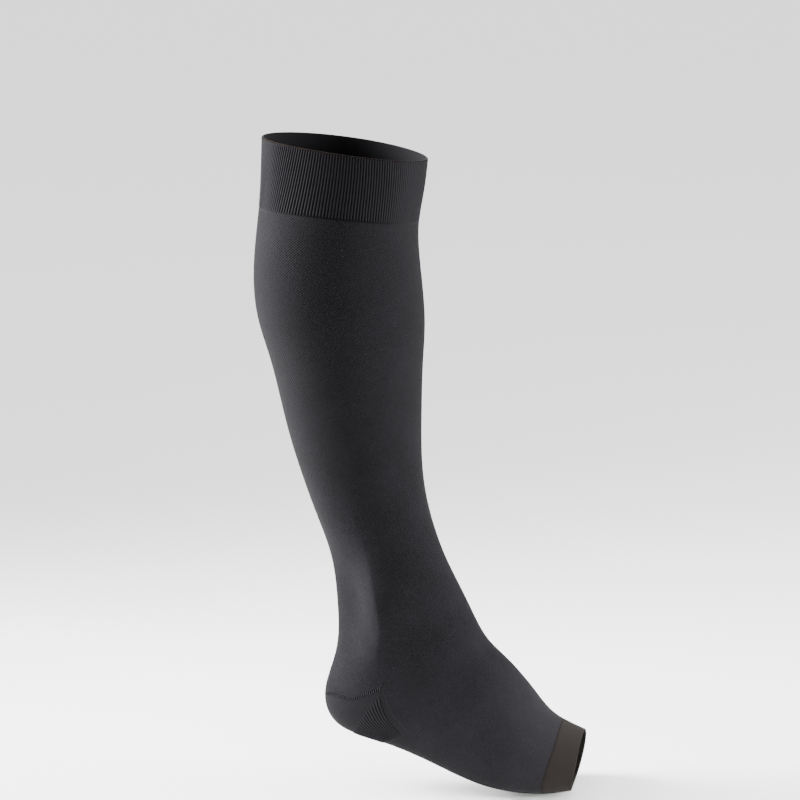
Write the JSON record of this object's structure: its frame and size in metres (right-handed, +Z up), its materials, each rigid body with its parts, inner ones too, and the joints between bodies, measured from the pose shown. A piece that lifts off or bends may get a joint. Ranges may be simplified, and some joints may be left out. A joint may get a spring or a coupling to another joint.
{
  "type": "compression stocking",
  "caption": "Knee-high open-toe compression stocking in its worn form: ribbed knee band, tapered knit tube, turned heel with ribs under the arch, smooth toe edge.",
  "frame": {"origin": "centre of the open mouth below the knee, where the band grips the leg", "axes": "+Z up towards the knee, -Y towards the toes, -X the little-toe side of a right foot"},
  "size_m": [0.1112, 0.2225, 0.4441],
  "materials": {
    "knit_band": "matt ribbed knit, charcoal black",
    "knit_leg": "matt fine compression knit, charcoal black, faint sheen at grazing angles",
    "knit_heel": "matt reinforced knit, charcoal black",
    "knit_foot": "matt fine compression knit, charcoal black, the same yarn as the leg",
    "knit_toe": "matt smooth knit edge, warm black"
  },
  "bodies": {
    "root": {"knee_band": "knit_band", "leg": "knit_leg", "heel_pocket": "knit_heel", "foot": "knit_foot", "toe_band": "knit_toe"}
  },
  "joints": []
}
